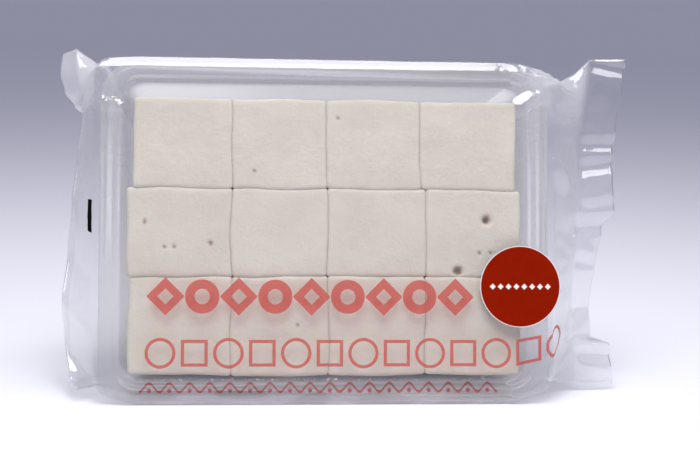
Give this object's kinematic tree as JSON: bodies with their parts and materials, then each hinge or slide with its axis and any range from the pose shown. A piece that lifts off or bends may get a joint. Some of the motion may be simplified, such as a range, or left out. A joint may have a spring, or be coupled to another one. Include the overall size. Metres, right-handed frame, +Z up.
{
  "type": "sealed bag of marshmallows",
  "caption": "Clear film bag, sealed at both ends, tight round a clear tray of square-cut marshmallows, with a round sticker.",
  "frame": {"origin": "middle of the flat underside that the bag stands on", "axes": "+Z up, +X to the right along the bag's length, and the face looks towards -Y, leaning back"},
  "size_m": [0.1838, 0.0537, 0.1064],
  "materials": {
    "film": "clear glossy film, finely wrinkled, with heat-sealed ends",
    "sticker": "satin coated paper with a thin pale edge",
    "tray": "clear thermoformed plastic",
    "marshmallow": "soft matt foam, dusted with starch",
    "print": "salmon-red ink on clear film",
    "mark": "black ink on clear film"
  },
  "bodies": {
    "root": {"bag": "film", "sticker": "sticker"}
  },
  "joints": []
}
